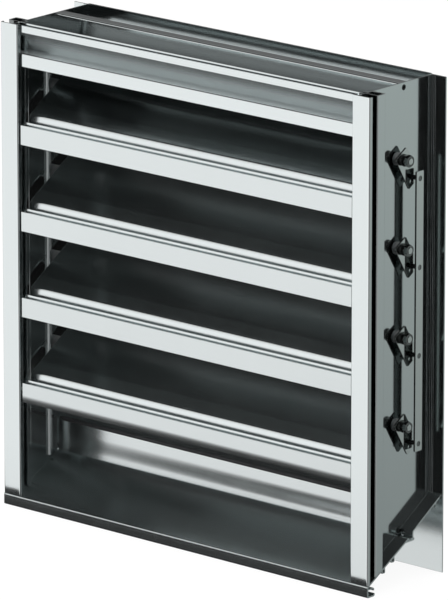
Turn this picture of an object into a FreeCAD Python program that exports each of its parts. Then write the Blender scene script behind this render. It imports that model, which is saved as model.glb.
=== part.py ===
import FreeCAD, Part
import math
import os

# Adjustable louver: four drainable blades in an extruded frame, turned together by levers and a
# tie bar outside the right jamb. Millimetres. While it is drawn, x runs from the louver's middle,
# y back from the front faces and z up from the nose of the sill. Each finished piece is then
# moved so that the origin lies under the middle of the frame, on the level it stands on.

# Overall sizes
louver_width = 640.8  # over the outer edges of the two front faces
louver_depth = 152.4
louver_height = 656.5  # from the sill nose to the top of the jambs
sill_drop = 15.8  # the sill lip and the rear flange hang this far below the nose
wall = 2.0  # thickness of every extrusion
flange_overhang = 2.6  # rear flange past the outer edge of the front faces

# Jambs
jamb_face_width = 30.0
jamb_inner_return = 6.6
jamb_outer_return = 5.3
jamb_web_inset = 20.5  # outer side of the web, in from the outer edge
slot_back = 15.9  # the outer slot ends at the box that stiffens the web
box_back = 32.0
downspout_y = 24.0
downspout_reach = 5.0
downspout_return = 7.0
flange_rib_inset = 16.0
flange_rib_size = 1.4
jamb_seal_y = 61.4
jamb_seal_width = 12.0
jamb_seal_rise = 3.0
jamb_seal_gauge = 0.6

# Sill
nose_corner = 1.2
lip_return = 14.0
sill_break_y = 84.5  # the front plate ends at the upstand
sill_break_z = 47.6
upstand_top = 91.0
upstand_end_gap = 1.0
riser_y = 92.0  # the rear plate starts with a riser
riser_top = 55.0
rear_plate_top = 91.0
rear_flange_top = 92.0
tray_z = 41.5
tray_lip = 3.0
tray_root = 6.0
drip_drop = 4.5  # from the nose to the hook under it
drip_gauge = 1.6
sill_raceways = (33.0, 52.0)
rear_raceway = 137.5
raceway_width = 6.4
raceway_depth = 7.0

# Head
head_lip_y = 5.6
head_lip_drop = 39.3  # below the top of the jambs
head_lip_height = 18.3
head_wall_foot = 30.7  # the front wall leans forward from here to the upstand
hook_drop = 1.7
hook_height = 9.2
hook_ledge_drop = 5.5
upstand_y = 10.4
upstand_rise = 1.4
head_mid_foot = 79.0  # the middle wall leans back from here
head_mid_set_back = 6.0
head_mid_flange = 14.0
head_floor_rise = 17.0  # from the front wall to the middle wall
head_stop_inset = 4.0
head_stop_drop = 72.0
rear_channel_depth = 14.5
head_rear_drop = 38.5
head_rear_rise = 1.1  # the rear wall stands this far above the jambs
seat_gap = 0.3  # left over the leg of the rear head, clear of the rounded corner
head_front_cope = 32.2  # front edges of the head stop short of the jamb faces
head_fin_cope = 28.0  # and its middle is notched round the downspout fins
cope_gap = 1.0

# Blades
blade_count = 4
blade_front_y = 3.3
lowest_lip_top = 160.0
blade_headroom = 138.0  # over the lip of the highest blade
blade_end_x = 32.2  # blade ends, in from the outer edge of the frame
blade_lip_height = 26.9
gutter_depth = 6.0
ridge_y = 7.0
ridge_rise = 3.2
ridge_lean = 1.0
gutter_back_y = 17.0
shoulder_y = 19.8
shoulder_z = 11.2
shoulder_radius = 5.0
blade_slope = 32.2  # degrees, rising towards the back
blade_run = 109.0  # from the shoulder to the rear edge, along the slope
bead_radius = 1.8
pivot_behind_lip = 80.2
pivot_above_lip = 37.7
blade_boss_radius = 9.4

# Axles and bushings
axle_radius = 6.0
axle_in_blade = 42.0
running_gap = 0.05  # radial clearance where a shaft turns
bushing_hub_radius = 8.5
bushing_collar_radius = 9.6
bushing_stand_out = 3.8  # hub past the outer side of the web
end_gap = 0.4  # play along the axles
thread_radius = 4.76
thread_pitch = 1.6
thread_depth = 0.5
axle_tip_out = 20.8  # from the outer side of the web
idler_head_radius = 8.0
idler_head_thickness = 1.8
flat_half_width = 4.0  # flats on the thread that turn the lever

# Levers, nuts and tie bar, measured out from the outer side of the right web
lever_out = 6.5
lever_gauge = 2.5
lever_angle = 58.5  # degrees, from the rear downwards while the blades stand open
lever_half_width = 12.5
lever_back = 11.0  # from the axle to the lever's upper end
lever_reach = 40.5  # and to its lower end
lever_nose_radius = 3.0
lever_corner_radius = 1.2
crank_reach = 34.2  # two pin holes, side by side near the lower end
crank_offset = 4.2
spare_hole_radius = 2.6
nut_across_flats = 14.3
nut_height = 4.8
jam_nut_height = 5.2
jam_nut_turn = 20.0  # degrees
washer_radius = 7.9
washer_gauge = 1.2
bar_out = 16.0
bar_gauge = 2.7
bar_gap = 0.25  # between the shoulder of each pin and the bar
bar_width = 14.0
bar_overhang = 10.0
pin_radius = 2.5
pin_shoulder_radius = 3.1
pin_head_radius = 3.5
pin_head_thickness = 0.8
pin_recess = 0.7  # the spread end lies this deep in the bar
pin_back_radius = 4.4
pin_back_thickness = 1.6

# Seals
blade_seal_gauge = 1.5
blade_seal_height = 8.5
stop_seal_gauge = 1.6
stop_seal_height = 11.0
flap_gauge = 1.6
flap_tip_y = 78.2
flap_tip_z = 96.6
flap_grip = 1.2

# Screws that hold head and sill between the jambs
screw_radius = 2.0
screw_length = 16.0
screw_clearance = 0.05
boss_radius = 4.3
flat_head_radius = 4.0
pan_head_radius = 3.4
pan_head_height = 2.2
recess_radius = 2.1
recess_depth = 1.5
front_boss_y = 42.0
rear_boss_set_back = 14.0  # behind the foot of the middle wall
rear_boss_below_top = 6.6
sill_boss_y = 88.3
sill_boss_z = 52.4

# Sizes worked out from the ones above
half_width = louver_width / 2
web_outer_x = half_width - jamb_web_inset
web_inner_x = web_outer_x - wall
blade_half = half_width - blade_end_x
sill_slope = sill_break_z / sill_break_y
slope_sin = math.sin(math.radians(blade_slope))
slope_cos = math.cos(math.radians(blade_slope))
pivot_y = blade_front_y + pivot_behind_lip
highest_lip_top = louver_height - blade_headroom
blade_pitch = (highest_lip_top - lowest_lip_top) / (blade_count - 1)
pivot_heights = [highest_lip_top + pivot_above_lip - blade_pitch * row for row in range(blade_count)]
lever_sin = math.sin(math.radians(lever_angle))
lever_cos = math.cos(math.radians(lever_angle))
crank_y = crank_reach * lever_cos + crank_offset * lever_sin
crank_z = -crank_reach * lever_sin + crank_offset * lever_cos
head_lip_top = louver_height - head_lip_drop
head_lip_bottom = head_lip_top - head_lip_height
hook_top = louver_height - hook_drop
hook_bottom = hook_top - hook_height
hook_ledge = louver_height - hook_ledge_drop
upstand_top_z = louver_height + upstand_rise
head_mid_top = head_mid_foot + head_mid_set_back
rear_boss_y = head_mid_foot + rear_boss_set_back
head_stop_y = head_mid_foot - head_stop_inset
head_stop_bottom = louver_height - head_stop_drop
head_rear_bottom = louver_height - head_rear_drop
head_mid_lean = head_mid_set_back / head_lip_drop
head_mid_across = wall * math.sqrt(1 + head_mid_lean ** 2)
head_wall_lean = (head_wall_foot - upstand_y) / (hook_ledge - head_lip_top)
head_wall_across = wall * math.sqrt(1 + head_wall_lean ** 2)
head_floor_slope = head_floor_rise / (head_mid_foot - head_wall_foot)
head_floor_across = wall * math.sqrt(1 + head_floor_slope ** 2)


def vector(x, y, z):
    return FreeCAD.Vector(x, y, z)


def side_plane(x):
    """Maps a point (y, z) of a section to space, for profiles that run along x."""
    return lambda a, b: vector(x, a, b)


def floor_plane(z):
    """Maps a point (x, y) of a section to space, for profiles that stand upright."""
    return lambda a, b: vector(a, b, z)


def outline_face(corners, plane):
    """Flat face from corners (a, b, radius), with each corner rounded by its radius."""
    edges = []
    joints = []
    count = len(corners)
    for i, (a, b, radius) in enumerate(corners):
        here = vector(a, b, 0)
        before = vector(corners[i - 1][0], corners[i - 1][1], 0) - here
        after = vector(corners[(i + 1) % count][0], corners[(i + 1) % count][1], 0) - here
        turn = before.getAngle(after)
        if radius <= 0 or turn > math.radians(179):
            joints.append((here, None, here))
            continue
        before.normalize()
        after.normalize()
        reach = radius / math.tan(turn / 2)
        middle = before + after
        middle.normalize()
        centre = here + middle * (radius / math.sin(turn / 2))
        joints.append((here + before * reach, centre - middle * radius, here + after * reach))
    for i, (start, middle, end) in enumerate(joints):
        if middle is not None:
            points = [plane(p.x, p.y) for p in (start, middle, end)]
            edges.append(Part.Arc(*points).toShape())
        following = joints[(i + 1) % count][0]
        if end.distanceToPoint(following) > 1e-6:
            edges.append(Part.LineSegment(plane(end.x, end.y), plane(following.x, following.y)).toShape())
    return Part.Face(Part.Wire(edges))


def side_of_path(path, shift):
    """Corners of a path (a, b[, radius]) moved sideways by shift, to its left if positive."""
    corners = []
    for i, point in enumerate(path):
        here = vector(point[0], point[1], 0)
        radius = point[2] if len(point) > 2 else 0
        into = here - vector(path[i - 1][0], path[i - 1][1], 0) if i else None
        out = vector(path[i + 1][0], path[i + 1][1], 0) - here if i + 1 < len(path) else None
        into = out if into is None else into
        out = into if out is None else out
        into = vector(into.x, into.y, 0).normalize()
        out = vector(out.x, out.y, 0).normalize()
        left = vector(-into.y - out.y, into.x + out.x, 0).normalize()
        stretch = 1 / (left.x * -into.y + left.y * into.x)
        turned = into.cross(out).z
        if radius:
            radius = radius - shift if turned > 0 else radius + shift
        moved = here + left * (shift * stretch)
        corners.append((moved.x, moved.y, max(radius, 0)))
    return corners


def ribbon(path, plane, gauge=wall):
    """Face of a sheet wall of one gauge whose middle follows the path."""
    left = side_of_path(path, gauge / 2)
    right = side_of_path(path, -gauge / 2)
    return outline_face(left + right[::-1], plane)


def joined(shapes):
    """One solid from overlapping ones, with its faces merged."""
    solid = shapes[0].fuse(shapes[1:]) if len(shapes) > 1 else shapes[0]
    return solid.removeSplitter()


def along_x(faces, length):
    return joined([face.extrude(vector(length, 0, 0)) for face in faces])


def rod(radius, x0, x1, y, z):
    """Round bar along x."""
    return Part.makeCylinder(radius, abs(x1 - x0), vector(min(x0, x1), y, z), vector(1, 0, 0))


def mirrored(shape):
    return shape.mirror(vector(0, 0, 0), vector(1, 0, 0))


def save(name, shape):
    """Moves a finished piece into the louver's own frame and writes it."""
    shape = shape.copy()
    shape.translate(vector(0, -louver_depth / 2, sill_drop))
    shape.exportStep(f"parts/{name}.step")


def sill_top(y):
    """Height of the upper side of the sill under a jamb."""
    if y < riser_y:
        return sill_slope * min(y, sill_break_y)
    rear_slope = (rear_plate_top - riser_top) / (louver_depth - wall - riser_y)
    return riser_top + rear_slope * (y - riser_y)


def head_floor_z(y):
    """Top of the head's floor, which rises from the front wall to the middle wall."""
    return head_lip_top + head_floor_slope * max(0, y - head_wall_foot)


def screw_places():
    """(y, z, flush head) of each frame screw in one jamb."""
    return [
        (front_boss_y, head_floor_z(front_boss_y) + boss_radius, True),
        (rear_boss_y, louver_height - rear_boss_below_top, True),
        (sill_boss_y, sill_boss_z, False),
    ]


# Frame


def right_jamb():
    """Outward-facing channel with front face, stiffening box, web and rear flange."""
    outer = half_width
    half = wall / 2
    web = web_outer_x - half
    inner_edge = outer - jamb_face_width + half
    plane = floor_plane(0)
    faces = [
        ribbon([(inner_edge, jamb_inner_return), (inner_edge, half, 1.2), (outer - half, half, 1.2),
                (outer - half, jamb_outer_return)], plane),
        ribbon([(web, half), (web, louver_depth - half)], plane),
        ribbon([(web, slot_back + half), (outer - half, slot_back + half, 1.2),
                (outer - half, box_back - half, 1.2), (web, box_back - half)], plane),
        ribbon([(web - half, downspout_y + half),
                (web_inner_x - downspout_reach + half, downspout_y + half, 1.2),
                (web_inner_x - downspout_reach + half, downspout_y + wall - downspout_return)], plane),
        ribbon([(web - half, louver_depth - half), (outer + flange_overhang, louver_depth - half)], plane),
        Part.Face(Part.Wire(Part.makePolygon([
            vector(outer - flange_rib_inset - flange_rib_size, louver_depth - wall, 0),
            vector(outer - flange_rib_inset + flange_rib_size, louver_depth - wall, 0),
            vector(outer - flange_rib_inset, louver_depth - wall - flange_rib_size, 0),
            vector(outer - flange_rib_inset - flange_rib_size, louver_depth - wall, 0)]))),
    ]
    jamb = joined([face.extrude(vector(0, 0, louver_height)) for face in faces])
    below = [(-wall, -wall), (-wall, 0), (0, 0), (sill_break_y, sill_break_z), (riser_y, sill_break_z),
             (riser_y, riser_top), (louver_depth - wall, rear_plate_top), (louver_depth - wall, rear_flange_top),
             (louver_depth + wall, rear_flange_top), (louver_depth + wall, -wall)]
    cutter = outline_face([(y, z, 0) for y, z in below], side_plane(0))
    jamb = jamb.cut(cutter.extrude(vector(louver_width, 0, 0)))
    for z in pivot_heights:
        bore = rod(bushing_hub_radius + running_gap, web_inner_x - wall, web_outer_x + wall, pivot_y, z)
        jamb = jamb.cut(bore)
    for y, z, flush in screw_places():
        jamb = jamb.cut(rod(screw_radius + screw_clearance, web_inner_x - wall, web_outer_x + wall, y, z))
        if flush:
            seat = Part.makeCone(screw_radius, flat_head_radius, wall, vector(web_inner_x, y, z),
                                 vector(1, 0, 0))
            jamb = jamb.cut(seat)
    return jamb


def jamb_seal():
    """Bowed metal strip on the inner side of the right web, which the closed blades brush."""
    x = web_inner_x
    half = jamb_seal_gauge / 2
    middle = jamb_seal_y + jamb_seal_width / 2
    end = jamb_seal_width / 2
    path = [(x - half, middle - end), (x - half, middle - end / 2, 1.0),
            (x - jamb_seal_rise, middle - end / 4, 2.0), (x - jamb_seal_rise, middle + end / 4, 2.0),
            (x - half, middle + end / 2, 1.0), (x - half, middle + end)]
    bottom = sill_top(middle + end) + wall
    top = head_lip_top - 2 * wall
    return ribbon(path, floor_plane(bottom), jamb_seal_gauge).extrude(vector(0, 0, top - bottom))


def add_raceway(sill, y, plate_z, slope):
    """Screw raceway under a sloping plate whose middle is at height plate_z there."""
    half = raceway_width / 2
    low = plate_z - raceway_depth
    block = outline_face([(y - half, plate_z - half * slope, 0), (y - half, low, 1.5), (y + half, low, 1.5),
                          (y + half, plate_z + half * slope, 0)], side_plane(-half_width))
    sill = joined([sill, block.extrude(vector(louver_width, 0, 0))])
    z = low + half
    sill = sill.cut(rod(screw_radius, -half_width, half_width, y, z))
    mouth = Part.makeBox(louver_width, 2 * screw_radius * 0.4, half,
                         vector(-half_width, y - screw_radius * 0.4, low))
    return sill.cut(mouth)


def sill_front():
    """Front sill: lip, sloping plate, upstand that the lowest blade closes on, and rear tray."""
    half = wall / 2
    across = half * math.sqrt(1 + sill_slope ** 2)
    plane = side_plane(-half_width)
    low = -sill_drop + half
    faces = [
        ribbon([(lip_return, low + tray_lip), (lip_return, low, 1.2), (half, low, 1.2),
                (half, -across, nose_corner),
                (sill_break_y, sill_break_z - across, 1.5), (sill_break_y + half, tray_z + half, 0)], plane),
        ribbon([(half, -drip_drop), (lip_return - half, -drip_drop, 1.2),
                (lip_return - half, -drip_drop - tray_lip)], plane, drip_gauge),
        ribbon([(sill_break_y - tray_root, tray_z + half), (riser_y + 1.5 * wall, tray_z + half, 1.2),
                (riser_y + 1.5 * wall, tray_z + tray_lip)], plane),
    ]
    sill = along_x(faces, louver_width)
    for y in sill_raceways:
        sill = add_raceway(sill, y, sill_slope * y - across, sill_slope)
    clear = web_inner_x - upstand_end_gap
    plane = side_plane(-clear)
    upstand = ribbon([(sill_break_y + half, tray_z + half), (sill_break_y + half, upstand_top)], plane)
    boss_face = Part.Face(Part.Wire(Part.Circle(vector(-clear, sill_boss_y, sill_boss_z), vector(1, 0, 0),
                                                riser_y - sill_boss_y - 0.2).toShape()))
    upright = along_x([upstand, boss_face], 2 * clear)
    bore = rod(screw_radius + screw_clearance, -half_width, half_width, sill_boss_y, sill_boss_z)
    upright = upright.cut(bore)
    return joined([sill, upright])


def sill_rear():
    """Rear sill: riser hooked into the tray, sloping plate and full-width rear flange."""
    half = wall / 2
    plane = side_plane(-half_width)
    slope = (rear_plate_top - riser_top) / (louver_depth - wall - riser_y)
    across = half * math.sqrt(1 + slope ** 2)
    faces = [
        ribbon([(sill_break_y + 2 * wall, tray_z + 1.5 * wall), (riser_y + half, tray_z + 1.5 * wall, 1.2),
                (riser_y + half, riser_top - across, 1.2),
                (louver_depth - half, rear_plate_top - across + half * slope)],
               plane),
    ]
    sill = along_x(faces, louver_width)
    plate_z = riser_top + slope * (rear_raceway - riser_y) - across
    sill = add_raceway(sill, rear_raceway, plate_z, slope)
    flange_half = half_width + flange_overhang
    flange = Part.makeBox(2 * flange_half, wall, sill_drop + rear_flange_top,
                          vector(-flange_half, louver_depth - wall, -sill_drop))
    return joined([sill, flange])


def mid_wall_y(z):
    """Front of the head's leaning middle wall at height z."""
    return head_mid_foot + head_mid_lean * (z - head_lip_top)


def head_front():
    """Front head: lip, hook and upstand, floor with blade stop, and flanged middle wall."""
    half = wall / 2
    plane = side_plane(-web_inner_x)
    floor_z = head_lip_top - half
    lip = head_lip_y + half
    foot = head_floor_z(head_mid_foot) - head_floor_across / 2
    top = mid_wall_y(louver_height - half) + head_mid_across / 2
    wall_foot = head_wall_foot + head_wall_lean * half + head_wall_across / 2
    faces = [
        ribbon([(lip, head_lip_bottom), (lip, floor_z, 1.2), (wall_foot, floor_z),
                (mid_wall_y(foot) + head_mid_across / 2, foot, 1.2), (top, louver_height - half, 1.2),
                (head_mid_top + wall + head_mid_flange, louver_height - half)], plane),
        ribbon([(wall_foot, floor_z), (upstand_y + half, hook_ledge, 1.5), (lip, hook_ledge)], plane),
        ribbon([(lip, hook_bottom), (lip, hook_top)], plane),
        ribbon([(upstand_y + half, hook_ledge), (upstand_y + half, upstand_top_z)], plane),
        ribbon([(head_stop_y + half, head_floor_z(head_stop_y) - half), (head_stop_y + half, head_stop_bottom)],
               plane),
    ]
    head = along_x(faces, 2 * web_inner_x)
    y = front_boss_y
    z = head_floor_z(y) + boss_radius
    boss = rod(boss_radius, -web_inner_x, web_inner_x, y, z)
    root = Part.makeBox(2 * web_inner_x, boss_radius, boss_radius + half,
                        vector(-web_inner_x, y - boss_radius / 2, z - boss_radius - half))
    head = joined([head, boss, root])
    head = head.cut(rod(screw_radius + screw_clearance, -web_inner_x - 1, web_inner_x + 1, y, z))
    fin_front = downspout_y + wall - downspout_return
    front_cope = (head_front_cope, 0, upstand_y - wall)
    fin_cope = (head_fin_cope, fin_front - cope_gap, downspout_y + wall + cope_gap)
    for cope, front, rear in (front_cope, fin_cope):
        end = Part.makeBox(cope, rear - front, louver_height, vector(half_width - cope, front, 0))
        head = head.cut(end).cut(mirrored(end))
    return head


def head_rear():
    """Rear head: leg behind the middle wall, channel floor and rear wall."""
    half = wall / 2
    plane = side_plane(-web_inner_x)
    leg_top = louver_height - wall - seat_gap
    floor_z = louver_height - rear_channel_depth - half
    rear = louver_depth - half
    leg = mid_wall_y(floor_z) + 1.5 * head_mid_across
    faces = [
        ribbon([(mid_wall_y(leg_top) + 1.5 * head_mid_across, leg_top), (leg, floor_z, 1.5), (rear, floor_z)],
               plane),
        ribbon([(rear, head_rear_bottom), (rear, louver_height + head_rear_rise)], plane),
    ]
    head = along_x(faces, 2 * web_inner_x)
    z = louver_height - rear_boss_below_top
    boss = rod(boss_radius, -web_inner_x, web_inner_x, rear_boss_y, z)
    root = mid_wall_y(z) + 1.5 * head_mid_across
    neck = Part.makeBox(2 * web_inner_x, rear_boss_y - root, boss_radius,
                        vector(-web_inner_x, root, z - boss_radius / 2))
    head = joined([head, boss, neck])
    return head.cut(rod(screw_radius + screw_clearance, -web_inner_x - 1, web_inner_x + 1, rear_boss_y, z))


def frame_screw(y, z, flush):
    """Screw through the right web: flush head in the head bosses, raised head at the sill."""
    gap = screw_clearance
    shank = rod(screw_radius - gap, web_inner_x - screw_length, web_outer_x, y, z)
    if flush:
        head = Part.makeCone(screw_radius - gap, flat_head_radius - gap, wall, vector(web_inner_x, y, z),
                             vector(1, 0, 0))
        face_x = web_outer_x
    else:
        head = rod(pan_head_radius, web_outer_x, web_outer_x + pan_head_height, y, z)
        rim = [edge for edge in head.Edges if edge.BoundBox.XMin > web_outer_x + pan_head_height / 2]
        head = head.makeFillet(pan_head_height / 2, rim)
        face_x = web_outer_x + pan_head_height
    screw = joined([shank, head])
    recess = hexagon(recess_radius, face_x - recess_depth, y, z).extrude(vector(recess_depth + 1, 0, 0))
    return screw.cut(recess)


def hexagon(corner_radius, x, y, z):
    points = [vector(x, y + corner_radius * math.cos(math.radians(60 * k)),
                     z + corner_radius * math.sin(math.radians(60 * k))) for k in range(7)]
    return Part.Face(Part.Wire(Part.makePolygon(points)))


# Blades


def blade_path():
    """Middle line of the blade's main wall in (y, z) from the top front edge of its lip."""
    half = wall / 2
    return [(half, -gutter_depth), (gutter_back_y, -gutter_depth, 1.5),
            (shoulder_y, shoulder_z, shoulder_radius),
            (shoulder_y + blade_run * slope_cos, shoulder_z + blade_run * slope_sin)]


def blade(pivot_z):
    """Blade extrusion: front lip, gutter with ridge, sloping plate, axle boss and rear bead."""
    half = wall / 2
    front = blade_front_y
    top = pivot_z - pivot_above_lip
    plane = side_plane(-blade_half)

    def shifted(path):
        return [(p[0] + front, p[1] + top, *p[2:]) for p in path]

    faces = [
        ribbon(shifted([(half, 0), (half, -blade_lip_height)]), plane),
        ribbon(shifted(blade_path()), plane),
        ribbon(shifted([(ridge_y, -gutter_depth), (ridge_y + ridge_lean, ridge_rise)]), plane),
    ]
    body = along_x(faces, 2 * blade_half)
    end_y, end_z = shifted(blade_path())[-1][:2]
    bead = rod(bead_radius, -blade_half, blade_half, end_y, end_z)
    boss = rod(blade_boss_radius, -blade_half, blade_half, pivot_y, pivot_z)
    body = joined([body, bead, boss])
    return body.cut(rod(axle_radius + running_gap, -half_width, half_width, pivot_y, pivot_z))


def blade_seal(pivot_z):
    """Soft strip on the back of the blade's lip, which meets the blade below."""
    top = pivot_z - pivot_above_lip
    low = top - blade_lip_height
    y = blade_front_y + wall
    corners = [(y, low, 0.4), (y + blade_seal_gauge, low, 0.6),
               (y + blade_seal_gauge, low + blade_seal_height, 0.6),
               (y, low + blade_seal_height, 0.4)]
    return outline_face(corners, side_plane(-blade_half)).extrude(vector(2 * blade_half, 0, 0))


def threaded(radius, x0, x1, y, z):
    """Rod along x whose surface has a groove at each thread pitch."""
    points = [(x0, 0), (x0, radius)]
    x = x0 + thread_pitch
    while x < x1 - thread_pitch:
        points += [(x, radius), (x + thread_pitch / 2, radius - thread_depth)]
        x += thread_pitch
    points += [(x1 - thread_pitch / 2, radius), (x1, radius - thread_pitch / 2), (x1, 0), (x0, 0)]
    profile = Part.Face(Part.Wire(Part.makePolygon([vector(a, b, 0) for a, b in points])))
    turned = profile.revolve(vector(0, 0, 0), vector(1, 0, 0), 360)
    turned.translate(vector(0, y, z))
    return turned


def drive_axle(z):
    """Right-hand axle: plain in blade and bushing, with a flatted, threaded end for the lever."""
    shoulder = web_outer_x + lever_out
    body = rod(axle_radius, blade_half - axle_in_blade, shoulder, pivot_y, z)
    tip = threaded(thread_radius, shoulder - thread_pitch, web_outer_x + axle_tip_out, pivot_y, z)
    flats = Part.makeBox(lever_gauge, 2 * flat_half_width, 2 * thread_radius,
                         vector(shoulder, pivot_y - flat_half_width, z - thread_radius))
    neck = rod(thread_radius, shoulder, shoulder + lever_gauge, pivot_y, z)
    plain = tip.cut(Part.makeBox(lever_gauge, 4 * thread_radius, 4 * thread_radius,
                                 vector(shoulder, pivot_y - 2 * thread_radius, z - 2 * thread_radius)))
    return joined([body, plain, neck.common(flats)])


def idler_axle(z):
    """Left-hand axle with a flat head outside the bushing."""
    head_x = -web_outer_x - bushing_stand_out - end_gap
    body = rod(axle_radius, head_x, -blade_half + axle_in_blade, pivot_y, z)
    head = rod(idler_head_radius, head_x - idler_head_thickness, head_x, pivot_y, z)
    rim = [edge for edge in head.Edges if edge.BoundBox.XMax < head_x - idler_head_thickness / 2]
    return joined([body, head.makeChamfer(idler_head_thickness / 3, rim)])


def bushing(z):
    """Right-hand bushing: hub through the web and a collar that spaces the blade from it."""
    hub = rod(bushing_hub_radius, web_inner_x, web_outer_x + bushing_stand_out, pivot_y, z)
    collar = rod(bushing_collar_radius, blade_half + end_gap, web_inner_x, pivot_y, z)
    bore = rod(axle_radius + running_gap, blade_half - 1, half_width, pivot_y, z)
    return joined([hub, collar]).cut(bore)


# Levers and tie bar


def lever_point(along, aside, z):
    """(y, z) of a point on the open lever: along its length from the axle, and to its rear side."""
    return (pivot_y + along * lever_cos + aside * lever_sin, z - along * lever_sin + aside * lever_cos)


def crank_lever(z):
    """Flat lever on the axle's flats, with two holes near its end of which one takes the pin."""
    x = web_outer_x + lever_out
    front_upper = (*lever_point(-lever_back, -lever_half_width, z), lever_nose_radius)
    front_lower = (*lever_point(lever_reach, -lever_half_width, z), lever_corner_radius)
    rear_lower = (*lever_point(lever_reach, lever_half_width, z), lever_corner_radius)
    rear_upper = (*lever_point(-lever_back, lever_half_width, z), lever_corner_radius)
    corners = [front_upper, front_lower, rear_lower, rear_upper]
    lever = outline_face(corners, side_plane(x)).extrude(vector(lever_gauge, 0, 0))
    slot = rod(thread_radius + running_gap, x - 1, x + lever_gauge + 1, pivot_y, z)
    width = flat_half_width + running_gap
    slot = slot.common(Part.makeBox(lever_gauge + 2, 2 * width, 4 * thread_radius,
                                    vector(x - 1, pivot_y - width, z - 2 * thread_radius)))
    lever = lever.cut(slot)
    lever = lever.cut(rod(pin_radius + running_gap, x - 1, x + lever_gauge + 1, pivot_y + crank_y, z + crank_z))
    spare_y, spare_z = lever_point(crank_reach, -crank_offset, z)
    return lever.cut(rod(spare_hole_radius, x - 1, x + lever_gauge + 1, spare_y, spare_z))


def lock_washer(z):
    x = web_outer_x + lever_out + lever_gauge
    ring = rod(washer_radius, x, x + washer_gauge, pivot_y, z)
    ring = ring.cut(rod(thread_radius + 2 * running_gap, x - 1, x + 2 * washer_gauge, pivot_y, z))
    split = Part.makeBox(2 * washer_gauge + 2, washer_gauge, 2 * washer_radius,
                         vector(x - 1, pivot_y - washer_gauge / 2, z))
    return ring.cut(split)


def hexagon_nut(x, height, z, turn):
    """Nut with rounded-off corners and a threaded bore, turned by an angle on its axle."""
    corner = nut_across_flats / math.sqrt(3)
    nut = hexagon(corner, x, pivot_y, z).extrude(vector(height, 0, 0))
    nut.rotate(vector(x, pivot_y, z), vector(1, 0, 0), turn)
    dome = rod(corner, x, x + height, pivot_y, z)
    rim = [edge for edge in dome.Edges if edge.BoundBox.XLength < 1e-6]
    dome = dome.makeChamfer((corner - nut_across_flats / 2) * 0.9, rim)
    nut = nut.common(dome)
    return nut.cut(rod(thread_radius + running_gap, x - 1, x + height + 1, pivot_y, z))


def lever_nut(z):
    return hexagon_nut(web_outer_x + lever_out + lever_gauge + washer_gauge, nut_height, z, 0)


def jam_nut(z):
    """Second nut, which locks the first."""
    x = web_outer_x + lever_out + lever_gauge + washer_gauge + nut_height
    return hexagon_nut(x, jam_nut_height, z, jam_nut_turn)


def link_pin(z):
    """Rivet pin: head behind the lever, shoulder up to the bar, end spread in a counterbore."""
    y = pivot_y + crank_y
    z = z + crank_z
    lever_x = web_outer_x + lever_out
    shoulder_x = web_outer_x + bar_out - bar_gap
    pin_face = web_outer_x + bar_out + bar_gauge - pin_recess
    back = rod(pin_back_radius, lever_x - pin_back_thickness, lever_x, y, z)
    shank = rod(pin_radius, lever_x - pin_back_thickness, pin_face, y, z)
    shoulder = rod(pin_shoulder_radius, lever_x + lever_gauge, shoulder_x, y, z)
    head = rod(pin_head_radius, pin_face - pin_head_thickness, pin_face, y, z)
    return joined([back, shank, shoulder, head])


def tie_bar():
    """Flat bar that joins the levers, with a counterbored hole at each pin."""
    x = web_outer_x + bar_out
    y = pivot_y + crank_y
    low = pivot_heights[-1] + crank_z - bar_overhang
    high = pivot_heights[0] + crank_z + bar_overhang
    corners = [(y - bar_width / 2, low, 1.5), (y + bar_width / 2, low, 1.5), (y + bar_width / 2, high, 1.5),
               (y - bar_width / 2, high, 1.5)]
    bar = outline_face(corners, side_plane(x)).extrude(vector(bar_gauge, 0, 0))
    seat = pin_head_thickness + pin_recess + bar_gap
    for z in pivot_heights:
        bar = bar.cut(rod(pin_radius + running_gap, x - 1, x + bar_gauge + 1, y, z + crank_z))
        bar = bar.cut(rod(pin_head_radius + 4 * running_gap, x + bar_gauge - seat, x + bar_gauge + 1,
                          y, z + crank_z))
    return bar


# Frame seals


def head_seal():
    """Soft strip on the rear side of the head's blade stop."""
    y = head_stop_y + wall
    low = head_stop_bottom
    corners = [(y, low, 0.4), (y + stop_seal_gauge, low, 0.6),
               (y + stop_seal_gauge, low + stop_seal_height, 0.6),
               (y, low + stop_seal_height, 0.4)]
    return outline_face(corners, side_plane(-blade_half)).extrude(vector(2 * blade_half, 0, 0))


def sill_seal():
    """Soft flap gripped on the sill upstand, leaning forward to the lowest blade's closed lip."""
    front = sill_break_y
    back = sill_break_y + wall
    grip = upstand_top - flap_grip
    half = flap_gauge / 2
    plane = side_plane(-blade_half)
    path = [(front - half, grip), (front - half, upstand_top + half, 0),
            (back + half, upstand_top + half, 0), (back + half, grip)]
    flap = [(front - half, upstand_top + half), (flap_tip_y, flap_tip_z)]
    return along_x([ribbon(path, plane, flap_gauge), ribbon(flap, plane, flap_gauge)], 2 * blade_half)


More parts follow.
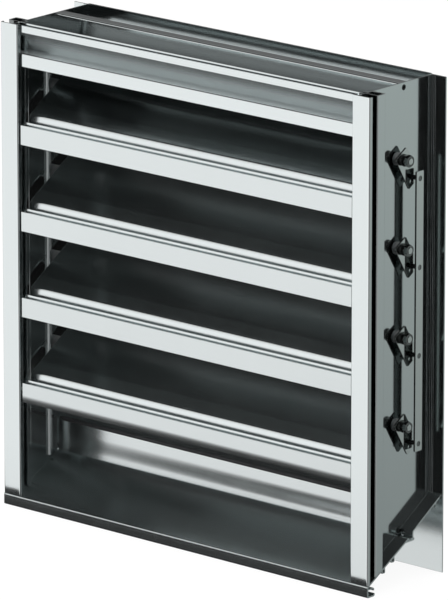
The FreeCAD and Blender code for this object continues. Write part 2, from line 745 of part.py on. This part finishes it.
def main():
    os.makedirs("parts", exist_ok=True)
    jamb = right_jamb()
    save("right_jamb", jamb)
    save("left_jamb", mirrored(jamb))
    seal = jamb_seal()
    save("right_jamb_seal", seal)
    save("left_jamb_seal", mirrored(seal))
    save("sill_front", sill_front())
    save("sill_rear", sill_rear())
    save("sill_seal", sill_seal())
    save("head_front", head_front())
    save("head_rear", head_rear())
    save("head_seal", head_seal())
    screws = [frame_screw(y, z, flush) for y, z, flush in screw_places()]
    save("frame_screws", Part.makeCompound(screws + [mirrored(screw) for screw in screws]))
    save("tie_bar", tie_bar())
    for row, z in enumerate(pivot_heights, start=1):
        save(f"blade_{row}", blade(z))
        save(f"blade_seal_{row}", blade_seal(z))
        save(f"drive_axle_{row}", drive_axle(z))
        save(f"idler_axle_{row}", idler_axle(z))
        save(f"right_bushing_{row}", bushing(z))
        save(f"left_bushing_{row}", mirrored(bushing(z)))
        save(f"crank_lever_{row}", crank_lever(z))
        save(f"lock_washer_{row}", lock_washer(z))
        save(f"lever_nut_{row}", lever_nut(z))
        save(f"jam_nut_{row}", jam_nut(z))
        save(f"link_pin_{row}", link_pin(z))


main()
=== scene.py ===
"""Dresses the adjustable louver: mill-finish aluminium, plated linkage, seals, and the studio."""

import math

import bpy
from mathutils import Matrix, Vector


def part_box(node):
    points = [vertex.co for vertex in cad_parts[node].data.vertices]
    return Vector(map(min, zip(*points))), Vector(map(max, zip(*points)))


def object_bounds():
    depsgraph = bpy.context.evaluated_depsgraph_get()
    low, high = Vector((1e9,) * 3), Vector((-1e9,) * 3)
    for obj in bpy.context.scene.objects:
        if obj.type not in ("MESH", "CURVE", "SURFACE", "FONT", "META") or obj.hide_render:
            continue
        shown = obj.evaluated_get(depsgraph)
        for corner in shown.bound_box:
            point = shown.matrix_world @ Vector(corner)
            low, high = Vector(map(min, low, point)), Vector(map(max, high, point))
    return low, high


bl_info = {
    "name": "Adjustable Louver Finishes",
    "version": (1, 0, 0),
    "blender": (4, 5, 0),
    "location": "View3D > Sidebar > Louver",
    "description": "Gives each piece of the adjustable louver its finish and sets up the studio",
    "category": "Material",
}

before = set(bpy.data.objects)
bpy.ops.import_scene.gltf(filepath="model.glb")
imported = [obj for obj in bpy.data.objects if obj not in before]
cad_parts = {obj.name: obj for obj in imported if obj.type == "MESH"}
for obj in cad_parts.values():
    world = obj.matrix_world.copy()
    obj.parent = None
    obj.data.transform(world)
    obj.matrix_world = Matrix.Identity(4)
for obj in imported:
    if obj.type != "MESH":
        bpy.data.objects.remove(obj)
CAD_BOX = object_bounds()
WIDTH = CAD_BOX[1].x - CAD_BOX[0].x
DEPTH = CAD_BOX[1].y - CAD_BOX[0].y

ROWS = (1, 2, 3, 4)
JAMBS = ("left_jamb", "right_jamb")
HEAD = ("head_front", "head_rear")
JAMB_SEALS = ("left_jamb_seal", "right_jamb_seal")
SOFT_SEALS = ("head_seal", "sill_seal", *(f"blade_seal_{row}" for row in ROWS))
BLADES = tuple(f"blade_{row}" for row in ROWS)
LEVERS = tuple(f"crank_lever_{row}" for row in ROWS)
NUTS = tuple(f"lever_nut_{row}" for row in ROWS)
WASHERS = tuple(f"lock_washer_{row}" for row in ROWS)
JAM_NUTS = tuple(f"jam_nut_{row}" for row in ROWS)
PINS = tuple(f"link_pin_{row}" for row in ROWS)
DRIVE_AXLES = tuple(f"drive_axle_{row}" for row in ROWS)
IDLER_AXLES = tuple(f"idler_axle_{row}" for row in ROWS)
BUSHINGS = tuple(f"{side}_bushing_{row}" for side in ("left", "right") for row in ROWS)

# The studio. Walls are pairs of degrees above the horizon and brightness.
FLOOR_HALF = 30.0
FLOOR_GLOW = 0.93  # share of the floor that the camera sees as plain white
LEFT_FRONT = (-0.654, -0.757)  # level direction that the front faces mirror
FRONT_WALL = ((-25, 0.0), (-19.5, 0.6), (-17, 1.0), (4, 1.0), (13, 0.8), (26, 0.72), (36, 0.0))
BACK_WALL = ((0, 0.0), (12, 0.13), (20, 0.18), (33, 0.38), (42, 0.38), (47, 0.0))
PLAIN_GREY = 0.35  # brightness square to the louver's sides, above and below
DARK_ROOM = 0.004

# Where those walls start and are whole, by the cosine to a level direction or by the rise's sine.
FRONT_WALL_EDGE = (0.72, 0.93)
BACK_WALL_EDGE_Y = (0.15, 0.45)
BACK_WALL_EDGE_X = (0.1, 0.4)
SQUARE_EDGE_X = (0.79, 0.85)
SQUARE_EDGE_Y = (0.82, 0.88)
SQUARE_RISE = (0.6, 0.5)
ABOVE_EDGE = (0.84, 0.9)
BELOW_EDGE = (0.82, 0.9)

# The softbox, and the cards that reflections see. An upright card has a colour low and one high.
SOFTBOX_SIZE = 4.0
SOFTBOX_HEIGHT = 3.0
WEB_CARD_X = (0.36, 1.3)
WEB_CARD_Y = 0.36
WEB_CARD_Z = (-0.3, 0.8)
WEB_CARD_COLOURS = ((0.252, 0.276, 0.272), (0.385, 0.425, 0.415))
BACK_CARD_X = (-1.3, 1.3)
BACK_CARD_Y = 0.62
BACK_CARD_Z = (-0.4, -0.1)
BACK_CARD_COLOURS = ((0.30, 0.32, 0.32), (0.36, 0.385, 0.38))
# The dark card lying on the floor before the lip is a painted shadow: it stands for the floor's shadow there
# as the lip mirrors it.
LIP_CARD_DEPTH = 0.06
LIP_CARD_OVERHANG = 0.2  # past the louver's left side
LIP_CARD_GAP = 0.0005  # off the louver and the floor
LIP_SHADOW_COLOUR = (0.035, 0.036, 0.036)

# The photograph's framing: the lower left corner of the front, and the picture's middle from there.
FRONT_CORNER = Vector((-0.3204, -0.0762, 0.0158))
MIDDLE_RIGHT = 0.2981
MIDDLE_UP = 0.2610

# Places on the metal, in metres in the CAD's frame.
SILL_ROLL = (0.0688, 0.0918, 0.0022)  # from, to and height of the bulge in the sill's upstand
LIP_ROLL = (0.1388, 0.1588, 0.0019)
SLOT_X = (0.2996, 0.3186)  # to the side of the middle
SLOT_Y = (-0.0744, -0.0601)
RECESS_Y = (-0.0688, -0.046)
RECESS_TOP = 0.6658
RECESS_SHADE = (0.642, 0.658)  # where the painted shade thickens towards the recess's top
RECESS_WALL = (0.632, 0.642)  # from the recess's floor to its wall
STOP_Y = (-0.0045, -0.0035)
STOP_TOP = (0.66, 0.65)
PLATE_Y = (-0.038, -0.034)
MASK_EDGE = 0.0004
SLOT_EDGE = 0.0002
SKIN = 0.0006  # depth at a flat piece's inner face that has painted shade, and at an axle's end that hasn't

# Strengths of what changes over the metal.
# How dark the painted shade makes the metal, and how much of it lies on the head's stop, in its recess and
# on the blades' plates.
PAINTED_SHADE_TINT = 0.3
STOP_PAINTED_SHADE = 0.85
RECESS_PAINTED_SHADE = 0.8
PLATE_PAINTED_SHADE = 0.36
DULL_METAL = 0.2
DULL_BLUR = 0.12
INNER_SHADE_TINT = 0.18
THREAD_EDGE = 0.00005  # softening of threads and pins, finer than their grooves
LINE_STRETCH = 0.012  # fineness of the die lines along the extrusion, as a share of that across it
LINE_DEPTH = 0.00005
SCUFF_DEPTH = 0.00004

# Roughness and fineness of mottling of the plated steel.
SHEET_STEEL = (0.1, 140.0)
TURNED_STEEL = (0.14, 420.0)
SCREW_STEEL = (0.3, 600.0)


class Signal:
    """A socket inside a shader, so that shader maths reads as plain arithmetic."""

    def __init__(self, shader, socket):
        self.shader = shader
        self.socket = socket

    def maths(self, operation, *values):
        return self.shader.add("ShaderNodeMath", {"operation": operation}, *values)

    def __add__(self, other):
        return self.maths("ADD", self, other)

    def __radd__(self, other):
        return self.maths("ADD", other, self)

    def __sub__(self, other):
        return self.maths("SUBTRACT", self, other)

    def __rsub__(self, other):
        return self.maths("SUBTRACT", other, self)

    def __mul__(self, other):
        return self.maths("MULTIPLY", self, other)

    def __rmul__(self, other):
        return self.maths("MULTIPLY", other, self)

    def __truediv__(self, other):
        return self.maths("DIVIDE", self, other)

    def root(self):
        return self.maths("SQRT", self)

    def size(self):
        return self.maths("ABSOLUTE", self)

    def between(self, low, high):
        """0 at low, 1 at high, smooth in between."""
        settings = {"interpolation_type": "SMOOTHSTEP"}
        ends = {"From Min": low, "From Max": high}
        return self.shader.add("ShaderNodeMapRange", settings, Value=self, **ends)

    def inside(self, span, edge):
        """1 within the span, falling to 0 over an edge outside it."""
        return self.between(span[0] - edge, span[0]) * self.between(span[1] + edge, span[1])


class Shader:
    """The nodes of one material or of the world."""

    def __init__(self, owner):
        owner.use_nodes = True
        self.tree = owner.node_tree
        self.tree.nodes.clear()

    def node(self, kind, settings=None, *places, **named):
        """A node of that type, with its settings made first and its sockets set or linked."""
        made = self.tree.nodes.new(kind)
        for name, value in (settings or {}).items():
            if name == "stops":
                self.set_stops(made.color_ramp, value)
            else:
                setattr(made, name, value)
        for key, value in [*enumerate(places), *named.items()]:
            self.feed(made.inputs[key], value)
        return made

    def add(self, kind, settings=None, *places, output=0, **named):
        """The same, giving one output of the node."""
        return Signal(self, self.node(kind, settings, *places, **named).outputs[output])

    def feed(self, socket, value):
        if isinstance(value, Signal):
            self.tree.links.new(value.socket, socket)
        elif socket.type == "RGBA" and len(value) == 3:
            socket.default_value = (*value, 1.0)
        else:
            socket.default_value = value

    @staticmethod
    def set_stops(ramp, stops):
        while len(ramp.elements) < len(stops):
            ramp.elements.new(1.0)
        for element, (place, colour) in zip(ramp.elements, stops):
            element.position = place
            element.color = (*colour, 1.0)

    def position(self):
        return self.add("ShaderNodeTexCoord", output="Object")

    def along(self, axis):
        """Object coordinate along x, y or z."""
        return self.add("ShaderNodeSeparateXYZ", None, self.position(), output=axis.upper())

    def stretched(self, scale):
        """Object coordinates scaled per axis, for a pattern that runs along one of them."""
        return self.add("ShaderNodeMapping", None, Vector=self.position(), Scale=scale)

    def noise(self, vector, detail=3.0, roughness=0.55, scale=1.0):
        inputs = {"Vector": vector, "Scale": scale, "Detail": detail, "Roughness": roughness}
        return self.add("ShaderNodeTexNoise", None, **inputs)

    def mix_colours(self, factor, first, second):
        """Colour mix. The node's sockets share names, so they are fed by number."""
        made = self.node("ShaderNodeMix", {"data_type": "RGBA"})
        for key, value in {0: factor, 6: first, 7: second}.items():
            self.feed(made.inputs[key], value)
        return Signal(self, made.outputs[2])

    def bump(self, height, strength, distance, normal=None):
        """Normal bent by a height, over another normal where one is given."""
        under = {"Normal": normal} if normal else {}
        return self.add("ShaderNodeBump", None, Strength=strength, Distance=distance, Height=height, **under)

    def surface(self, **inputs):
        """The principled surface and the material's output."""
        principled = self.add("ShaderNodeBsdfPrincipled", None, **inputs)
        self.node("ShaderNodeOutputMaterial", None, principled)


def tinted(colour, strength):
    return tuple(channel * strength for channel in colour)


def roll(shader, low, high, height):
    """Surface that swells by that height between two levels, all in metres."""
    return shader.along("z").between(low, high) * height


def extruded_metal(name, finish, direction, blur, swell=None, painted_shade=None, dull=None):
    """Mill-finish extrusion: fine die lines along its length, faint clouding and softened edges."""
    material = bpy.data.materials.new(name)
    shader = Shader(material)
    fine = finish.line_density
    long = fine * LINE_STRETCH
    scale = {"x": (long, fine, fine), "z": (fine, fine, long)}[direction]
    lines = shader.noise(shader.stretched(scale), detail=2.0)
    cloud = shader.noise(shader.position(), detail=4.0, scale=finish.cloud_scale)
    speckle = shader.noise(shader.position(), detail=1.0, scale=finish.line_density * 2.2)
    tone = (lines - 0.5) * 0.10 + (cloud - 0.5) * 0.10 + (speckle - 0.5) * 0.05 + 0.5
    dark = tinted(finish.metal, 0.93)
    colour = shader.mix_colours(tone, dark, tuple(min(1.0, c * 1.05) for c in finish.metal))
    # Painted shade: the metal is darkened where the mask says, standing for shade in hollows and on the
    # blades' slopes.
    if painted_shade:
        colour = shader.mix_colours(painted_shade(shader), colour, tinted(finish.metal, PAINTED_SHADE_TINT))
    roughness = (lines - 0.5) * 0.05 + (cloud - 0.5) * 0.06 + blur
    metallic = 1.0
    if dull:
        metallic = 1.0 - dull(shader) * DULL_METAL
        roughness = roughness + dull(shader) * DULL_BLUR
    normal = shader.add("ShaderNodeBevel", {"samples": 6}, Radius=finish.edge)
    if swell:
        normal = shader.bump(swell(shader), 1.0, 1.0, normal)
    normal = shader.bump(lines, finish.relief, LINE_DEPTH, normal)
    look = {"Base Color": colour, "Metallic": metallic, "Roughness": roughness, "Normal": normal}
    shader.surface(**look)
    return material


def jamb_slot(shader):
    """1 inside the slot behind a jamb's front face, where the metal gets painted shade."""
    across = shader.along("x").size()
    return across.inside(SLOT_X, SLOT_EDGE) * shader.along("y").inside(SLOT_Y, SLOT_EDGE)


def in_recess(shader):
    """1 on the walls and floor of the head's recess, behind its lip."""
    below_top = shader.along("z").between(RECESS_TOP + MASK_EDGE, RECESS_TOP)
    return shader.along("y").inside(RECESS_Y, MASK_EDGE) * below_top


def head_painted_shade(shader):
    """Painted shade on the head's blade stop and what lies behind it, and up inside the recess."""
    rise = shader.along("z")
    behind = shader.along("y").between(*STOP_Y) * rise.between(*STOP_TOP)
    top = in_recess(shader) * rise.between(*RECESS_SHADE)
    return behind * STOP_PAINTED_SHADE + top * RECESS_PAINTED_SHADE


def recess_dullness(shader):
    """Duller metal in the head's recess, a little less on its floor."""
    return in_recess(shader) * (shader.along("z").between(*RECESS_WALL) * 0.1 + 0.9)


def plate_painted_shade(shader):
    """Light painted shade on the blades' sloping plates, behind their gutters."""
    return shader.along("y").between(*PLATE_Y) * PLATE_PAINTED_SHADE


def upstand_swell(shader):
    """The sill's upstand bulges a little towards its top, more to the right."""
    more = shader.along("x").between(-WIDTH / 2, WIDTH / 2) * 0.6 + 0.4
    return roll(shader, *SILL_ROLL) * more


def lowest_lip_swell(shader):
    """The lowest blade's lip curls under along its bottom edge."""
    return roll(shader, *LIP_ROLL)


def plated_metal(name, finish, colour, roughness, scale, shaded_to=None, edge=None):
    """Zinc-plated steel: crystalline mottling and small scuffs. It has painted shade up to an x, where
    given.
    """
    material = bpy.data.materials.new(name)
    shader = Shader(material)
    mottle = shader.noise(shader.position(), detail=4.0, scale=scale)
    scuff = shader.noise(shader.stretched((scale * 3, scale * 0.6, scale * 0.6)), detail=3.0)
    tone = (mottle - 0.5) * 0.4 + (scuff - 0.5) * 0.3 + 0.5
    shade = shader.mix_colours(tone, tinted(colour, 0.93), colour)
    if shaded_to:
        # Painted shade: darker steel up to that x.
        inner = shader.along("x").between(shaded_to + MASK_EDGE, shaded_to)
        shade = shader.mix_colours(inner, shade, tinted(colour, INNER_SHADE_TINT))
    rough = (mottle - 0.5) * 0.05 + roughness
    normal = shader.add("ShaderNodeBevel", {"samples": 6}, Radius=edge or finish.edge)
    normal = shader.bump(scuff, 0.06, SCUFF_DEPTH, normal)
    shader.surface(**{"Base Color": shade, "Metallic": 1.0, "Roughness": rough, "Normal": normal})
    return material


def moulded_plastic(name, colour):
    """Dark bearing plastic with a fine matt grain."""
    material = bpy.data.materials.new(name)
    shader = Shader(material)
    grain = shader.noise(shader.position(), detail=2.0, scale=2600.0)
    cloud = shader.noise(shader.position(), detail=3.0, scale=60.0)
    shade = shader.mix_colours(cloud, tinted(colour, 0.85), tinted(colour, 1.15))
    normal = shader.bump(grain, 0.2, 0.00004)
    shader.surface(**{"Base Color": shade, "Roughness": (grain - 0.5) * 0.15 + 0.5, "Normal": normal})
    return material


def seal_rubber(name, colour):
    """Extruded black rubber with lines along its length and a dusty bloom."""
    material = bpy.data.materials.new(name)
    shader = Shader(material)
    lines = shader.noise(shader.stretched((20.0, 1500.0, 1500.0)), detail=2.0)
    bloom = shader.noise(shader.position(), detail=5.0, scale=35.0)
    shade = shader.mix_colours(bloom.between(0.35, 0.8), colour, tuple(c * 1.9 + 0.01 for c in colour))
    normal = shader.bump(lines, 0.3, 0.00008)
    rough = (bloom - 0.5) * 0.2 + 0.62
    shader.surface(**{"Base Color": shade, "Roughness": rough, "Normal": normal})
    return material


def dress(names, material):
    """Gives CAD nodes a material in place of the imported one."""
    for name in names:
        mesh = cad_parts[name].data
        mesh.materials.clear()
        mesh.materials.append(material)


def colour_property(name, description, default):
    return bpy.props.FloatVectorProperty(
        name=name, description=description, subtype="COLOR", default=default, min=0, max=1)


def share_property(name, description, default):
    return bpy.props.FloatProperty(name=name, description=description, default=default, min=0, max=1)


def angle_property(name, description, degrees):
    return bpy.props.FloatProperty(
        name=name, description=description, subtype="ANGLE", unit="ROTATION", default=math.radians(degrees))


class LouverFinish(bpy.types.PropertyGroup):
    """Colours and textures of the louver's pieces."""

    metal: colour_property("Metal", "Colour of the extrusions", (0.77, 0.817, 0.82))
    jamb_blur: share_property("Jamb blur", "Roughness of the jambs and the head", 0.10)
    blade_blur: share_property("Blade blur", "Roughness of the blades, the sill and the jamb seals", 0.19)
    relief: share_property("Relief", "Strength of the die lines in the surface", 0.10)
    line_density: bpy.props.FloatProperty(
        name="Die lines", description="Fineness of the lines along an extrusion, per metre",
        default=900.0, min=1)
    cloud_scale: bpy.props.FloatProperty(
        name="Clouding", description="Fineness of the faint clouds in the finish, per metre",
        default=14.0, min=1)
    edge: bpy.props.FloatProperty(
        name="Edge", description="Radius of the softened edges", subtype="DISTANCE", unit="LENGTH",
        default=0.0004, min=0)
    steel: colour_property("Steel", "Colour of the plated linkage", (0.76, 0.80, 0.79))
    rubber: colour_property("Rubber", "Colour of the soft seals", (0.012, 0.012, 0.013))
    plastic: colour_property("Plastic", "Colour of the bushings", (0.10, 0.105, 0.105))


class LouverStudio(bpy.types.PropertyGroup):
    """Camera and lights."""

    azimuth: angle_property("Azimuth", "Camera's place to the right of the front", 40.83)
    elevation: angle_property("Elevation", "Camera's place above the horizon", 15.65)
    distance: bpy.props.FloatProperty(
        name="Distance", description="From the camera to the louver's front", subtype="DISTANCE",
        unit="LENGTH", default=10.279)
    lens: bpy.props.FloatProperty(
        name="Lens", description="Focal length", subtype="DISTANCE_CAMERA", unit="CAMERA", default=454.9)
    overhead: bpy.props.FloatProperty(
        name="Overhead", description="Power of the softbox above", subtype="POWER", unit="POWER",
        default=150.0)
    fill: bpy.props.FloatProperty(
        name="Fill", description="Brightness of the room on matt surfaces", default=0.9, min=0)


class FINISH_OT_frame(bpy.types.Operator):
    """Mill-finish aluminium for the jambs, head and sill."""

    bl_idname = "louver.finish_frame"
    bl_label = "Finish Frame"

    def execute(self, context):
        finish = context.scene.louver_finish
        dress(JAMBS, extruded_metal("jamb_metal", finish, "z", finish.jamb_blur, painted_shade=jamb_slot))
        head = extruded_metal(
            "head_metal", finish, "x", finish.jamb_blur, painted_shade=head_painted_shade, dull=recess_dullness)
        dress(HEAD, head)
        sill = extruded_metal("sill_metal", finish, "x", finish.blade_blur, swell=upstand_swell)
        dress(("sill_front",), sill)
        dress(("sill_rear",), extruded_metal("rear_sill_metal", finish, "x", finish.blade_blur))
        return {"FINISHED"}


class FINISH_OT_blades(bpy.types.Operator):
    """Mill-finish aluminium for the blades."""

    bl_idname = "louver.finish_blades"
    bl_label = "Finish Blades"

    def execute(self, context):
        finish = context.scene.louver_finish
        blade = extruded_metal(
            "blade_metal", finish, "x", finish.blade_blur, swell=lowest_lip_swell, painted_shade=plate_painted_shade)
        dress(BLADES, blade)
        return {"FINISHED"}


class FINISH_OT_linkage(bpy.types.Operator):
    """Plated steel for levers, tie bar, nuts, washers, pins, axles and frame screws."""

    bl_idname = "louver.finish_linkage"
    bl_label = "Finish Linkage"

    def execute(self, context):
        finish = context.scene.louver_finish
        steel = tuple(finish.steel)
        # Where the painted shade stops: just past the levers' and the bar's inner faces, and just short of
        # the drive axles' end faces.
        lever_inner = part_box(LEVERS[0])[0].x + SKIN
        bar_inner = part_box("tie_bar")[0].x + SKIN
        axle_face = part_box(DRIVE_AXLES[0])[1].x - SKIN
        dress(LEVERS, plated_metal("lever_steel", finish, steel, *SHEET_STEEL, lever_inner))
        dress(("tie_bar",), plated_metal("bar_steel", finish, steel, *SHEET_STEEL, bar_inner))
        self.dress_turned(finish, DRIVE_AXLES, "threaded_steel", 0.92, axle_face, THREAD_EDGE)
        self.dress_turned(finish, IDLER_AXLES, "turned_steel", 0.92)
        # Painted shade: the pins are a darker copy of the steel, and the nuts and washers darker still.
        self.dress_turned(finish, PINS, "pin_steel", 0.4, edge=THREAD_EDGE)
        self.dress_turned(finish, (*NUTS, *JAM_NUTS, *WASHERS), "nut_steel", 0.3)
        dress(("frame_screws",), plated_metal("screw_steel", finish, tinted(steel, 0.07), *SCREW_STEEL))
        return {"FINISHED"}

    @staticmethod
    def dress_turned(finish, names, material_name, tint, shaded_to=None, edge=None):
        """Small turned or pressed pieces, finely mottled."""
        colour = tinted(tuple(finish.steel), tint)
        dress(names, plated_metal(material_name, finish, colour, *TURNED_STEEL, shaded_to, edge))


class FINISH_OT_seals(bpy.types.Operator):
    """Stainless strip for the jamb seals, rubber for the others, plastic for the bushings."""

    bl_idname = "louver.finish_seals"
    bl_label = "Finish Seals and Bushings"

    def execute(self, context):
        finish = context.scene.louver_finish
        dress(JAMB_SEALS, extruded_metal("seal_strip_metal", finish, "z", finish.blade_blur))
        dress(SOFT_SEALS, seal_rubber("seal_rubber", tuple(finish.rubber)))
        dress(BUSHINGS, moulded_plastic("bushing_plastic", tuple(finish.plastic)))
        return {"FINISHED"}


def card(name, corners, low, high=None):
    """Studio card that only reflections see, in one colour or in two that blend from low to high."""
    mesh = bpy.data.meshes.new(name)
    mesh.from_pydata(corners, [], [tuple(range(len(corners)))])
    made = bpy.data.objects.new(name, mesh)
    bpy.context.scene.collection.objects.link(made)
    material = bpy.data.materials.new(name)
    shader = Shader(material)
    shine = low
    if high:
        heights = [corner[2] for corner in corners]
        rise = shader.along("z").between(min(heights), max(heights))
        shine = shader.mix_colours(rise, low, high)
    glow = shader.add("ShaderNodeEmission", None, Color=shine, Strength=1.0)
    shader.node("ShaderNodeOutputMaterial", None, glow)
    mesh.materials.append(material)
    made.visible_camera = False
    made.visible_shadow = False
    made.visible_diffuse = False


def studio_floor():
    """White floor that keeps the louver's soft shadow."""
    mesh = bpy.data.meshes.new("studio_floor")
    side = FLOOR_HALF
    corners = [(-side, -side, 0), (side, -side, 0), (side, side, 0), (-side, side, 0)]
    mesh.from_pydata(corners, [], [(0, 1, 2, 3)])
    made = bpy.data.objects.new("studio_floor", mesh)
    bpy.context.scene.collection.objects.link(made)
    material = bpy.data.materials.new("studio_floor")
    shader = Shader(material)
    path = shader.node("ShaderNodeLightPath")
    seen = Signal(shader, path.outputs["Is Camera Ray"])
    paint = shader.add("ShaderNodeBsdfDiffuse", None, Color=(0.9, 0.9, 0.9))
    glow = shader.add("ShaderNodeEmission", None, Color=(1.0, 1.0, 1.0), Strength=1.0)
    mixed = shader.add("ShaderNodeMixShader", None, seen * FLOOR_GLOW, paint, glow)
    shader.node("ShaderNodeOutputMaterial", None, mixed)
    mesh.materials.append(material)
    made.visible_glossy = False


def overhead_softbox(power):
    light = bpy.data.lights.new("overhead_softbox", "AREA")
    light.shape = "SQUARE"
    light.size = SOFTBOX_SIZE
    light.energy = power
    made = bpy.data.objects.new("overhead_softbox", light)
    made.location = (0.0, 0.0, SOFTBOX_HEIGHT)
    made.visible_glossy = False
    bpy.context.scene.collection.objects.link(made)


def reflections(shader):
    """Brightness of the room by direction, as the metal mirrors it.

    A white wall stands to the left front and a dim one to the left behind. It is plain grey square
    to the louver's four sides, above and below, and dark elsewhere.
    """
    direction = shader.add("ShaderNodeTexCoord", output="Generated")
    split = shader.node("ShaderNodeSeparateXYZ", None, direction)
    x, y, z = (Signal(shader, split.outputs[axis]) for axis in "XYZ")
    level = (1.0 - z * z).root() + 0.001
    height = (z + 1.0) * 0.5
    front = shader.add("ShaderNodeValToRGB", {"stops": height_stops(FRONT_WALL)}, height)
    back = shader.add("ShaderNodeValToRGB", {"stops": height_stops(BACK_WALL)}, height)
    to_front = (x * LEFT_FRONT[0] + y * LEFT_FRONT[1]) / level
    in_front = to_front.between(*FRONT_WALL_EDGE)
    behind = (y / level).between(*BACK_WALL_EDGE_Y) * (0.0 - x / level).between(*BACK_WALL_EDGE_X)
    to_sides = (x.size() / level).between(*SQUARE_EDGE_X)
    to_faces = (y.size() / level).between(*SQUARE_EDGE_Y)
    square_on = (to_sides + to_faces) * z.size().between(*SQUARE_RISE)
    plain = square_on + z.between(*ABOVE_EDGE) + (0.0 - z).between(*BELOW_EDGE)
    return in_front * front + (1.0 - in_front) * behind * back + plain * PLAIN_GREY + DARK_ROOM


def room(fill):
    """White behind the louver, even light on matt surfaces, and the studio in reflections."""
    world = bpy.data.worlds.new("studio_room")
    bpy.context.scene.world = world
    shader = Shader(world)
    path = shader.node("ShaderNodeLightPath")
    seen = Signal(shader, path.outputs["Is Camera Ray"])
    mirrored = Signal(shader, path.outputs["Is Glossy Ray"])
    studio = shader.add("ShaderNodeBackground", None, Color=reflections(shader), Strength=1.0)
    matt = shader.add("ShaderNodeBackground", None, Color=(0.97, 0.99, 1.0), Strength=fill)
    white = shader.add("ShaderNodeBackground", None, Color=(1.0, 1.0, 1.0), Strength=1.0)
    unseen = shader.add("ShaderNodeMixShader", None, mirrored, matt, studio)
    mixed = shader.add("ShaderNodeMixShader", None, seen, unseen, white)
    shader.node("ShaderNodeOutputWorld", None, mixed)


def height_stops(steps):
    """Ramp stops from (degrees above the horizon, brightness)."""
    return [((math.sin(math.radians(rise)) + 1) / 2, (shine,) * 3) for rise, shine in steps]


def upright(across, y, height):
    """Corners of an upright card, anticlockwise from the front."""
    return [(across[0], y, height[0]), (across[1], y, height[0]),
            (across[1], y, height[1]), (across[0], y, height[1])]


def lying(across, along, z):
    """Corners of a lying card, anticlockwise from above."""
    return [(across[0], along[0], z), (across[1], along[0], z),
            (across[1], along[1], z), (across[0], along[1], z)]


class STUDIO_OT_stage(bpy.types.Operator):
    """Pale floor, soft lights, reflection cards and the camera."""

    bl_idname = "louver.set_stage"
    bl_label = "Set Stage"

    def execute(self, context):
        studio = context.scene.louver_studio
        studio_floor()
        room(studio.fill)
        overhead_softbox(studio.overhead)
        self.cards()
        self.camera(studio)
        context.scene.view_settings.view_transform = "Standard"
        return {"FINISHED"}

    @staticmethod
    def cards():
        """Greys for the right web and the rear faces to mirror, and the dark card beneath the lip, a painted
        shadow of the floor there.
        """
        front = -DEPTH / 2
        side = WIDTH / 2
        card("web_card", upright(WEB_CARD_X, WEB_CARD_Y, WEB_CARD_Z), *WEB_CARD_COLOURS)
        lip_across = (-side - LIP_CARD_OVERHANG, side)
        lip_along = (front - LIP_CARD_DEPTH, front - LIP_CARD_GAP)
        card("lip_shadow_card", lying(lip_across, lip_along, LIP_CARD_GAP), LIP_SHADOW_COLOUR)
        card("low_back_card", upright(BACK_CARD_X, BACK_CARD_Y, BACK_CARD_Z), *BACK_CARD_COLOURS)

    @staticmethod
    def camera(studio):
        """Looks at the point that the photograph's middle shows, from its distance and angle."""
        turn, rise = studio.azimuth, studio.elevation
        level = math.cos(rise)
        back = Vector((math.sin(turn) * level, -math.cos(turn) * level, math.sin(rise)))
        right = Vector((math.cos(turn), math.sin(turn), 0.0))
        up = back.cross(right)
        middle = FRONT_CORNER + right * MIDDLE_RIGHT + up * MIDDLE_UP
        lens = bpy.data.cameras.new("photo_camera")
        lens.lens = studio.lens
        lens.sensor_width = 36.0
        lens.clip_end = 100.0
        camera = bpy.data.objects.new("photo_camera", lens)
        camera.location = middle + back * studio.distance
        camera.rotation_mode = "QUATERNION"
        camera.rotation_quaternion = (-back).to_track_quat("-Z", "Y")
        bpy.context.scene.collection.objects.link(camera)
        bpy.context.scene.camera = camera


class VIEW3D_PT_louver(bpy.types.Panel):
    """The finish, the studio and the buttons that apply them."""

    bl_label = "Louver"
    bl_space_type = "VIEW_3D"
    bl_region_type = "UI"
    bl_category = "Louver"

    def draw(self, context):
        for group in (context.scene.louver_finish, context.scene.louver_studio):
            for name in group.bl_rna.properties.keys():
                if name not in ("rna_type", "name"):
                    self.layout.prop(group, name)
        for operator in OPERATORS:
            self.layout.operator(operator.bl_idname)


OPERATORS = (FINISH_OT_frame, FINISH_OT_blades, FINISH_OT_linkage, FINISH_OT_seals, STUDIO_OT_stage)
CLASSES = (LouverFinish, LouverStudio, *OPERATORS, VIEW3D_PT_louver)


def register():
    for made in CLASSES:
        bpy.utils.register_class(made)
    bpy.types.Scene.louver_finish = bpy.props.PointerProperty(type=LouverFinish)
    bpy.types.Scene.louver_studio = bpy.props.PointerProperty(type=LouverStudio)


def unregister():
    del bpy.types.Scene.louver_finish
    del bpy.types.Scene.louver_studio
    for made in reversed(CLASSES):
        bpy.utils.unregister_class(made)


def main():
    register()
    bpy.ops.louver.finish_frame()
    bpy.ops.louver.finish_blades()
    bpy.ops.louver.finish_linkage()
    bpy.ops.louver.finish_seals()
    bpy.ops.louver.set_stage()


if __name__ == "__main__":
    main()
